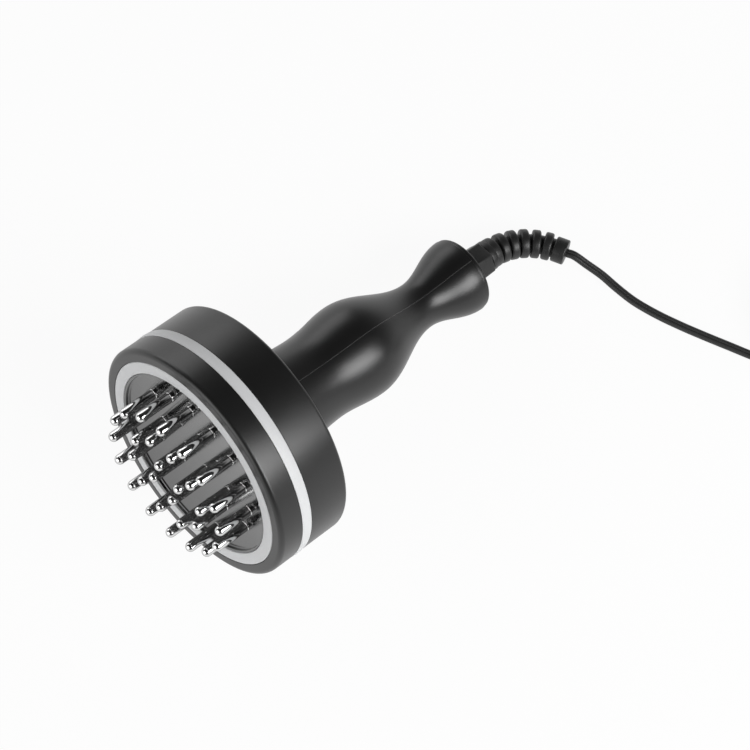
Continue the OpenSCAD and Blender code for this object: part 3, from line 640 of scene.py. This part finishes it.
def half_section(proud):
    """Section of one shell: foot and flange in the head, the skin, the socket for the cap, and the bore."""
    flange_t, bore_r = BACK_T - NECK_FLANGE_W, NECK_R - SHELL_WALL
    foot = [(bore_r, flange_t), (NECK_FLANGE_R, flange_t), (NECK_FLANGE_R, BACK_T), (NECK_R, BACK_T),
            (NECK_R, HEAD_DEPTH + SEAT_GAP)]
    skin = outline(HEAD_DEPTH + SEAT_GAP, SHELL_END - END_CHAMFER, -proud)
    socket = [(outline_r(SHELL_END) - END_CHAMFER, SHELL_END), (SOCKET_R, SHELL_END), (SOCKET_R, SOCKET_T)]
    bore = outline(BORE_FROM, SOCKET_T - 1, SHELL_WALL, BORE_STEP)[::-1]
    return foot + skin + socket + bore + [(bore_r, HEAD_DEPTH), (bore_r, flange_t)]


print("handle: waist", 2 * outline_r(59), "bulb", 2 * outline_r(78.5), "neck", 2 * outline_r(111), "mm")

# %% [markdown]
# ## Two handle shells
#
# The handle is moulded as two shells, so each half is spun through half a turn and stops a hair short of
# the parting plane, with its long edges bevelled. One half also stands a few hundredths of a millimetre
# proud, as moulded halves never match exactly. A whole turned handle with a painted seam would be simpler,
# but then the seam would have no step, and the handle couldn't be taken apart.

# %% Half a handle
SEAM_GAP, PARTING_BEVEL, PROUD = 0.03, 0.2, 0.07
BUTTON_R, DRILL_LEN = 4.5, 20
BUTTON_STATIONS = {"heat": 68.0, "vibration": 82.0}


def handle_half(name, holes=(), proud=0.0):
    half = lathe(name, half_section(proud), 96, turn=180)
    if sum(v.co.y for v in half.data.vertices) < 0:
        half.data.transform(Matrix.Rotation(math.pi, 4, "Z"))
    half.data.transform(Matrix.Translation((0, SEAM_GAP * MM, 0)))
    for t in holes:
        cut_hole(half, t, BUTTON_R)
    bevel = half.modifiers.new("soft_parting_edge", "BEVEL")
    bevel.width = PARTING_BEVEL * MM
    bevel.segments = 2
    bevel.limit_method = "ANGLE"
    bevel.angle_limit = math.radians(60)
    return smooth(apply_modifiers(half))


def cut_hole(piece, t, radius):
    """Drills a hole for a button, out from the axis along y."""
    deselect()
    bpy.ops.mesh.primitive_cylinder_add(
        vertices=64, radius=radius * MM, depth=DRILL_LEN * MM, location=(0, DRILL_LEN * MM, t * MM),
        rotation=(math.pi / 2, 0, 0))
    drill = bpy.context.object
    hole = piece.modifiers.new("button_hole", "BOOLEAN")
    hole.operation = "DIFFERENCE"
    hole.solver = "EXACT"
    hole.object = drill
    apply_modifiers(piece)
    bpy.data.objects.remove(drill)


# %% The two halves
front_half = handle_half("handle_front_half", BUTTON_STATIONS.values())
back_half = handle_half("handle_back_half", proud=PROUD)
back_half.data.transform(Matrix.Rotation(math.pi, 4, "Z"))
for half, node_name in ((front_half, "handle_shell_front"), (back_half, "handle_shell_back")):
    place(half)
    dress(half, black, "black_plastic", "massager", node_name)
print("handle halves:", [len(h.data.polygons) for h in (front_half, back_half)], "faces")

# %% [markdown]
# ## Buttons
#
# The two buttons lie flush with the bulb, so their tops have to follow it. They could be cut out of the
# shell with a boolean, but a cut piece has poor faces for a dimple. Instead a disc is cut into rings by
# insets, and each of its points is then moved on to the turned surface, less a hair so that it never stands
# proud. A shallow dimple in the middle tells the thumb where it is.

# %% Push buttons
BUTTON_FIT, BUTTON_T, BUTTON_FOOT_Y, FLUSH_GAP = 0.05, 3, 13.6, 0.05
EDGE_W, EDGE_DROP, TOP_RINGS, TOP_RING_W = 0.25, 0.2, 6, 0.6
DIMPLE_R, DIMPLE_DEPTH = 2.6, 0.35


def button_height(x, along, t):
    """Distance of the button's top from the handle's axis plane."""
    reach = math.hypot(x, along)
    surface = math.sqrt(outline_r(t + along) ** 2 - x * x)
    dimple = DIMPLE_DEPTH * max(0.0, 1 - (reach / DIMPLE_R) ** 2) ** 2
    edge = EDGE_DROP if reach > BUTTON_R - EDGE_W else 0.0
    return surface - FLUSH_GAP - dimple - edge


def push_button(name, t, body, node_name):
    deselect()
    bpy.ops.mesh.primitive_cylinder_add(
        vertices=64, radius=(BUTTON_R - BUTTON_FIT) * MM, depth=BUTTON_T * MM, location=(0, 0, 0))
    button = bpy.context.object
    button.name = button.data.name = name
    bpy.ops.object.mode_set(mode="EDIT")
    bpy.ops.mesh.select_mode(type="FACE")
    bpy.ops.mesh.select_all(action="DESELECT")
    bpy.ops.object.mode_set(mode="OBJECT")
    for face in button.data.polygons:
        face.select = face.normal.z > 0.9
    bpy.ops.object.mode_set(mode="EDIT")
    bpy.ops.mesh.inset(thickness=EDGE_W * MM)
    for _ in range(TOP_RINGS):
        bpy.ops.mesh.inset(thickness=TOP_RING_W * MM)
    bpy.ops.object.mode_set(mode="OBJECT")
    for v in button.data.vertices:
        x, along, on_top = v.co.x / MM, v.co.y / MM, v.co.z > 0
        height = button_height(x, along, t) if on_top else BUTTON_FOOT_Y
        v.co = Vector((x, height, t + along)) * MM
    bpy.ops.object.mode_set(mode="EDIT")
    close_mesh()
    place(smooth(button, 40))
    return dress(button, button_black, "button_plastic", body, node_name)


heat = push_button("heat_push_button", BUTTON_STATIONS["heat"], "heat_key", "heat_button")
vibration = push_button(
    "vibration_push_button", BUTTON_STATIONS["vibration"], "vibration_key", "vibration_button")
print("buttons:", heat.name, vibration.name)

# %% [markdown]
# ## The end of the handle
#
# A flat cap closes the flared end. A six-sided block is seated on it, softened along its edges. It is one
# of the few pieces here that isn't round, so it starts as a six-sided cylinder, its far end is drawn in a
# little for the mould's draft, and a bevel rounds it all.

# %% End cap
CAP_R, CAP_EDGE, CAP_FIT, CAP_BORE, CAP_PLUG_R, CAP_PLUG_T = 15.0, 0.8, 0.15, 5.05, 11.5, 129.2
rim_edge = arc((CAP_R - CAP_EDGE, HANDLE_END - CAP_EDGE), CAP_EDGE, 0, 90, 6)
cap_section = [
    (CAP_BORE, CAP_PLUG_T), (CAP_PLUG_R, CAP_PLUG_T), (CAP_PLUG_R, SHELL_END),
    (CAP_R - CAP_FIT, SHELL_END + SEAT_GAP)] + rim_edge + [(CAP_BORE, HANDLE_END), (CAP_BORE, CAP_PLUG_T)]
end_cap = place(lathe("flat_end_cap", cap_section, 128))
dress(end_cap, black, "black_plastic", "massager", "handle_end_cap")
print("end cap:", 2 * CAP_R, "mm across")

# %% Gland block
GLAND_END, GLAND_R, GLAND_TURN, GLAND_DRAFT, GLAND_BEVEL = 146.5, 7.5, 12 - 90, 0.95, 0.7
deselect()
block_len = GLAND_END - HANDLE_END
bpy.ops.mesh.primitive_cylinder_add(vertices=6, radius=GLAND_R * MM, depth=block_len * MM, location=(0, 0, 0))
gland = bpy.context.object
gland.name = gland.data.name = "six_sided_gland"
gland.data.transform(Matrix.Rotation(math.radians(GLAND_TURN), 4, "Z"))
gland.data.transform(Matrix.Translation((0, 0, (HANDLE_END + block_len / 2) * MM)))
for v in gland.data.vertices:
    if v.co.z > (GLAND_END - 1) * MM:
        v.co.x *= GLAND_DRAFT
        v.co.y *= GLAND_DRAFT
gland_bevel = gland.modifiers.new("moulded_edges", "BEVEL")
gland_bevel.width = GLAND_BEVEL * MM
gland_bevel.segments = 4
place(smooth(apply_modifiers(gland), 30))
dress(gland, relief_black, "relief_rubber", "massager", "gland_block")
print("gland block:", round(block_len, 2), "mm long")

# %% [markdown]
# ## Ribbed strain relief
#
# The relief bends in an even arc, because its ribs let it give by the same amount everywhere. It could be
# modelled straight and bent with a curve modifier, but that squeezes the ribs on the inside of the bend.
# The real ribs keep their shape, so each is turned on the axis and carried along the arc by a matrix, and a
# thin core runs through them all.

# %% Bend of the relief
RELIEF_START, BEND_R, BEND_TURN, BANK = 149.0, 24.5, 65.0, 12.0
RIBS, RIB_W, RIB_EDGE, FIRST_RIB_R, LAST_RIB_R, FIRST_RIB_AT = 6, 3.4, 0.85, 5.9, 5.4, 0.35
START_R, START_FROM, START_TO, DISC_EDGE = FIRST_RIB_R + 0.2, -2.5, 0.3, 0.5
END_R, END_FROM, END_LEN = 4.95, -0.3, 4.7
CORE_R, CORE_SIDES, CORE_STEPS = 3.7, 32, 24


def on_bend(angle):
    """The matrix of a station along the strain relief."""
    turn_in = Matrix.Rotation(math.radians(-90 - BANK), 4, "Z")
    start = LAY @ Matrix.Translation((0, 0, RELIEF_START * MM)) @ turn_in
    out, back = (Matrix.Translation((way * BEND_R * MM, 0, 0)) for way in (1, -1))
    return start @ out @ Matrix.Rotation(math.radians(angle), 4, "Y") @ back


def round_disc(name, r, low, high, edge, angle):
    """A disc with rounded edges, turned and carried along the bend."""
    front = arc((r - edge, low + edge), edge, -90, 0, 4)
    back = arc((r - edge, high - edge), edge, 0, 90, 4)
    disc = lathe(name, [(0, low)] + front + back + [(0, high)], 64, smooth_angle=50)
    return place(disc, on_bend(angle))


print("the relief's bend is", round(math.radians(BEND_TURN) * BEND_R, 1), "mm long")

# %% Collar, ribs and end
relief_parts = [round_disc("relief_collar", START_R, START_FROM, START_TO, DISC_EDGE, 0)]
for i in range(RIBS):
    rib_r = FIRST_RIB_R + (LAST_RIB_R - FIRST_RIB_R) * i / (RIBS - 1)
    rib_at = BEND_TURN / RIBS * (i + FIRST_RIB_AT)
    relief_parts.append(round_disc("relief_rib", rib_r, -RIB_W / 2, RIB_W / 2, RIB_EDGE, rib_at))
relief_parts.append(round_disc("relief_end", END_R, END_FROM, END_LEN, DISC_EDGE, BEND_TURN))
print("discs on the bend:", len(relief_parts))

# %% Core
circle = [math.tau * i / CORE_SIDES for i in range(CORE_SIDES + 1)]
core = draw_line("relief_core", [(CORE_R * math.cos(a), CORE_R * math.sin(a), 0) for a in circle])
bpy.ops.mesh.remove_doubles(threshold=WELD * MM)
bpy.ops.mesh.edge_face_add()
bpy.ops.mesh.spin(steps=CORE_STEPS, angle=math.radians(BEND_TURN), center=(BEND_R * MM, 0, 0), axis=(0, 1, 0))
close_mesh(WELD)
smooth(core, 50)
if max(v.co.z for v in core.data.vertices) < 10 * MM:
    core.data.transform(Matrix.Diagonal((1, 1, -1, 1)))
    core.data.flip_normals()
relief_parts.append(place(core, on_bend(0)))
relief = join(relief_parts, "ribbed_strain_relief")
dress(relief, relief_black, "relief_rubber", "massager", "strain_relief")
print("strain relief reaches x =", round(max(v.co.x for v in relief.data.vertices), 4), "m")

# %% [markdown]
# ## The route of the lead
#
# The lead leaves the strain relief, drops to the table within a few centimetres and wanders off to the
# right. What the photograph doesn't show is wound up just past its edge, in four layers of loops, and ends
# in a round barrel plug. The points of the free part are given one by one, as a curve on the table would be.
# The coil and the drop to the plug are worked out, so that no two turns come closer than half a millimetre.

# %% Sizes of the route
CORD_D = 3.4
CORD_R = CORD_D / 2
CORD_START = Vector((110.904, -18.0033, 6.37535))
CORD_WAY = Vector((0.459586, -0.886503, 0.0537895))
ROUTE = [(114.2, -26.4, 4.9), (116.2, -33, 3.2), (117.4, -40, 2), (119, -48.5, 1.7), (122.1, -58, 1.7),
         (126.1, -67.5, 1.7), (130.4, -76.6, 1.7), (134.7, -85.3, 1.7), (139, -94, 1.7)]
LEAD_IN = 9
COIL_AT, COIL_IN, COIL_TURNED, COIL_OUT_R = (170, -103), 206.6, 108.4 + 11 * 360, 23.3
LAYERS, PITCH, CLIMB, POINTS_PER_TURN = 4, CORD_D + 0.5, 180, 36
LAYER_ANGLE = COIL_TURNED / LAYERS
PLUG_R, TAIL_RUN, TAIL_STRAIGHT, TAIL_STEPS = 5.2, 28.0, 3.0, 16
print("coil:", round(COIL_TURNED / 360, 1), "loops in", LAYERS, "layers")


# %% Curves of the route
def climb(s):
    """From 0 to 1 with a soft start and end."""
    s = min(1.0, max(0.0, s))
    return s * s * (3 - 2 * s)


def heading(a):
    """The way the coil runs at an angle round it."""
    return Vector((-math.sin(math.radians(a)), math.cos(math.radians(a)), 0))


def coil_at(a):
    """The coil winds inwards in one layer and outwards in the next, and climbs at each change."""
    wave = abs((a / LAYER_ANGLE + 1) % 2 - 1)
    r = COIL_OUT_R - wave * LAYER_ANGLE / 360 * PITCH
    b = math.radians(a + COIL_IN)
    z = CORD_R + PITCH * sum(climb((a - k * LAYER_ANGLE + CLIMB / 2) / CLIMB) for k in range(1, LAYERS))
    return Vector((COIL_AT[0] + r * math.cos(b), COIL_AT[1] + r * math.sin(b), z))


def flowing(points, steps=8):
    """A smooth curve through points: each stretch leaves a point along the line between its neighbours."""
    ends = [points[0] * 2 - points[1]] + points + [points[-1] * 2 - points[-2]]
    line = []
    for p0, p1, p2, p3 in zip(ends, ends[1:], ends[2:], ends[3:]):
        for i in range(steps):
            s = i / steps
            line.append(((p1 * 2) + (p2 - p0) * s + (p0 * 2 - p1 * 5 + p2 * 4 - p3) * s * s
                         + (p1 * 3 - p0 - p2 * 3 + p3) * s ** 3) / 2)
    return line + [points[-1]]


# %% The whole line
coil_in = coil_at(0) - heading(COIL_IN) * CORD_D
lead_in = coil_in - heading(COIL_IN) * LEAD_IN
free_points = [CORD_START, CORD_START + CORD_WAY * CORD_D] + [Vector(p) for p in ROUTE]
free_line = flowing(free_points + [lead_in, coil_in, coil_at(0)])[:-1]
coil_steps = round(COIL_TURNED / 360 * POINTS_PER_TURN)
coil_line = [coil_at(COIL_TURNED * i / coil_steps) for i in range(coil_steps + 1)]
tail_way = heading(COIL_IN + COIL_TURNED)
coil_out = coil_line[-1] + tail_way * CORD_D
drop_run = TAIL_RUN - 2 * TAIL_STRAIGHT
tail_line = [coil_out]
for i in range(TAIL_STEPS + 1):
    along, down = TAIL_STRAIGHT + drop_run * i / TAIL_STEPS, (coil_out.z - PLUG_R) * climb(i / TAIL_STEPS)
    tail_line.append(coil_out + tail_way * along - Vector((0, 0, down)))
tail_line.append(tail_line[-1] + tail_way * TAIL_STRAIGHT)
lead_line = free_line + coil_line + tail_line
lead_length = sum((b - a).length for a, b in zip(lead_line, lead_line[1:])) * MM
print("lead length", round(lead_length, 3), "m, in", len(lead_line), "points")

# %% [markdown]
# ## The lead
#
# A light twin lead: two round cores side by side under one sheath, with a groove between them. A curve's
# own round bevel can't make that section, so it is drawn as a flat closed curve, and a second curve carries
# it along the route with its long side level.

# %% Section of the lead
SECTION_POINTS, HALF_HEIGHT, GROOVE_DEPTH, GROOVE_W = 40, 1.4, 0.3, 0.34
section = bpy.data.curves.new("lead_section", "CURVE")
section.dimensions = "2D"
ring = section.splines.new("POLY")
ring.points.add(SECTION_POINTS - 1)
for i, point in enumerate(ring.points):
    a = math.tau * i / SECTION_POINTS
    across = CORD_R * math.cos(a)
    groove = 1 - GROOVE_DEPTH * math.exp(-((across / GROOVE_W) ** 2))
    point.co = (across * MM, HALF_HEIGHT * math.sin(a) * groove * MM, 0, 1)
ring.use_cyclic_u = True
section_object = bpy.data.objects.new("lead_section", section)
bpy.context.collection.objects.link(section_object)
print("section:", CORD_D, "by", 2 * HALF_HEIGHT, "mm")

# %% Sweep the lead
run = bpy.data.curves.new("supply_lead", "CURVE")
run.dimensions = "3D"
run.twist_mode = "Z_UP"
run.bevel_mode = "OBJECT"
run.bevel_object = section_object
run.use_fill_caps = True
spline = run.splines.new("POLY")
spline.points.add(len(lead_line) - 1)
for point, at in zip(spline.points, lead_line):
    point.co = (at.x * MM, at.y * MM, at.z * MM, 1)
lead = bpy.data.objects.new("supply_lead", run)
bpy.context.collection.objects.link(lead)
pick(lead)
bpy.ops.object.convert(target="MESH")
lead = bpy.context.object
bpy.data.objects.remove(section_object)
bpy.ops.object.mode_set(mode="EDIT")
close_mesh(0.0005)
smooth(lead, 50)
dress(lead, sheath_black, "cord_sheath", "massager", "cord", "cord_coil", "cord_tail")
print("lead:", len(lead.data.polygons), "faces")

# %% [markdown]
# ## The plug
#
# The plug has a short relief, a round grip with shallow grooves for the fingers, and a plated barrel with
# a hole for the socket's centre pin. The grooves could be a bump, but they show in the outline, so they are
# part of the turned section. The plug is turned like the pins and laid at the end of the lead.

# %% Plug grip
PLUG_LEN, PLUG_RELIEF, SHOULDER_R, NOSE_R = 24.0, 9.0, 0.7, 1.2
RELIEF_THIN, RELIEF_THICK, RELIEF_EDGE = 2.5, 3.2, 0.3
GRIPS, GRIP_FROM, GRIP_PITCH, GRIP_W, GRIP_DEPTH, GRIP_FLANK = 5, 7, 2.4, 1.3, 0.45, 0.35
turn_z = math.atan2(tail_way.y, tail_way.x)
lay_flat = Matrix.Rotation(turn_z, 4, "Z") @ Matrix.Rotation(math.pi / 2, 4, "Y")
AT_PLUG = Matrix.Translation(tail_line[-1] * MM) @ lay_flat
plug_end = PLUG_RELIEF + PLUG_LEN
grip = []
for i in range(GRIPS):
    low = PLUG_RELIEF + GRIP_FROM + GRIP_PITCH * i
    grip += [(PLUG_R, low), (PLUG_R - GRIP_DEPTH, low + GRIP_FLANK),
             (PLUG_R - GRIP_DEPTH, low + GRIP_W - GRIP_FLANK), (PLUG_R, low + GRIP_W)]
plug_section = [
    (0, 0), (RELIEF_THIN - RELIEF_EDGE, 0), (RELIEF_THIN, RELIEF_EDGE), (RELIEF_THICK, PLUG_RELIEF),
    (PLUG_R - SHOULDER_R, PLUG_RELIEF)] + arc(
    (PLUG_R - SHOULDER_R, PLUG_RELIEF + SHOULDER_R), SHOULDER_R, -90, 0, 4) + grip + arc(
    (PLUG_R - NOSE_R, plug_end - NOSE_R), NOSE_R, 0, 90, 6) + [(0, plug_end)]
plug = place(lathe("plug_grip", plug_section, 64), AT_PLUG)
dress(plug, relief_black, "relief_rubber", "massager", "plug_body")
print("plug grip:", plug_end, "mm with its relief")

# %% Plug barrel
BARREL_R, BARREL_LEN, BARREL_EDGE, BORE_R, BORE_FLOOR = 2.75, 9.5, 0.3, 1.05, 0.8
barrel_end = plug_end + BARREL_LEN
barrel_section = [
    (0, plug_end), (BARREL_R, plug_end), (BARREL_R, barrel_end - BARREL_EDGE),
    (BARREL_R - BARREL_EDGE, barrel_end), (BORE_R + BARREL_EDGE, barrel_end),
    (BORE_R, barrel_end - BARREL_EDGE), (BORE_R, plug_end + BORE_FLOOR), (0, plug_end + BORE_FLOOR)]
barrel = place(lathe("plug_contact", barrel_section, 64), AT_PLUG)
dress(barrel, plug_metal, "plug_metal", "massager", "plug_barrel")
print("barrel:", 2 * BARREL_R, "mm across")

[tuple(p * MM) for p in lead_line]
print("declared a lead of", round(lead_length, 4), "m")

# %% [markdown]
# ## Floor
#
# The massager was photographed on plain white. Enough lamps to burn a grey floor out would burn the white
# rings out too. So the floor itself shows almost white to the camera and to mirrors, and the small part of
# it that is a plain diffuse surface keeps a soft trace of the shadow.

# %% Floor
FLOOR_SIZE, FLOOR_DROP, FLOOR_WHITE, FLOOR_GREY = 12, 0.0003, 0.94, 0.8
deselect()
bpy.ops.mesh.primitive_plane_add(size=FLOOR_SIZE, location=(0, 0, -FLOOR_DROP))
floor = bpy.context.object
floor.name = "pale_floor"
floor_material = bpy.data.materials.new("pale_floor")
floor_material.use_nodes = True
tree = floor_material.node_tree
tree.nodes.clear()
seen, mirrored, passed = (
    add_node(tree, "LightPath", out=ray) for ray in ("Is Camera Ray", "Is Glossy Ray", "Is Transmission Ray"))
shows_white = seen.math("MAXIMUM", mirrored).math("MAXIMUM", passed) * FLOOR_WHITE
shaded = add_node(tree, "BsdfDiffuse", Color=grey(FLOOR_GREY))
glow = add_node(tree, "Emission", Color=grey(1.0))
blend = add_node(tree, "MixShader", sockets={0: shows_white, 1: shaded, 2: glow})
add_node(tree, "OutputMaterial", out=None, Surface=blend)
floor.data.materials.append(floor_material)
print("floor:", FLOOR_SIZE, "m wide")

# %% [markdown]
# ## Sky and lamps
#
# The sky is pale at the horizon and dark overhead, which keeps the black plastic black and gives the chrome
# its dark streaks. One soft lamp near the camera's side draws the broad highlights along the handle. Two
# larger and weaker ones, on the left and behind, light the face and the far side of the band evenly: a
# small lamp there would leave a bright patch on the black.

# %% Sky
HORIZON, OVERHEAD, FADE = 0.5, 0.02, 3.0
world = bpy.data.worlds.new("studio")
bpy.context.scene.world = world
world.use_nodes = True
sky = world.node_tree
sky.nodes.clear()
height = add_node(sky, "TexCoord", out="Object").parts()[2].math("MAXIMUM", 0.0)
sky_level = (1 - height).math("POWER", FADE) * HORIZON + OVERHEAD
is_camera = add_node(sky, "LightPath", out="Is Camera Ray")
strength = is_camera + (1 - is_camera) * sky_level
background = add_node(sky, "Background", Color=grey(1.0), Strength=strength)
add_node(sky, "OutputWorld", out=None, Surface=background)
print("sky: from", HORIZON + OVERHEAD, "at the horizon to", OVERHEAD, "overhead")


# %% Lamps
def soft_lamp(name, direction, distance, size, watts):
    """A rectangular area lamp that faces the massager."""
    aim = Vector((0.01, 0, 0.035))
    at = aim + Vector(direction).normalized() * distance
    bpy.ops.object.light_add(type="AREA", location=at)
    lamp = bpy.context.object
    lamp.name = name
    lamp.data.shape = "RECTANGLE"
    lamp.data.size, lamp.data.size_y = size
    lamp.data.energy = watts
    lamp.rotation_euler = (aim - at).to_track_quat("-Z", "Y").to_euler()
    return lamp


lamps = [
    soft_lamp("near_softbox", (0.25, -0.74, 0.62), 0.95, (0.62, 0.5), 8.4),
    soft_lamp("left_softbox", (-0.9, 0.1, 0.42), 1.4, (1.3, 1.1), 9.5),
    soft_lamp("far_softbox", (0.1, 0.95, 0.3), 1.3, (1.3, 0.7), 5.0)]
bpy.context.scene.view_settings.view_transform = "Standard"
print("lamps:", [lamp.name for lamp in lamps])
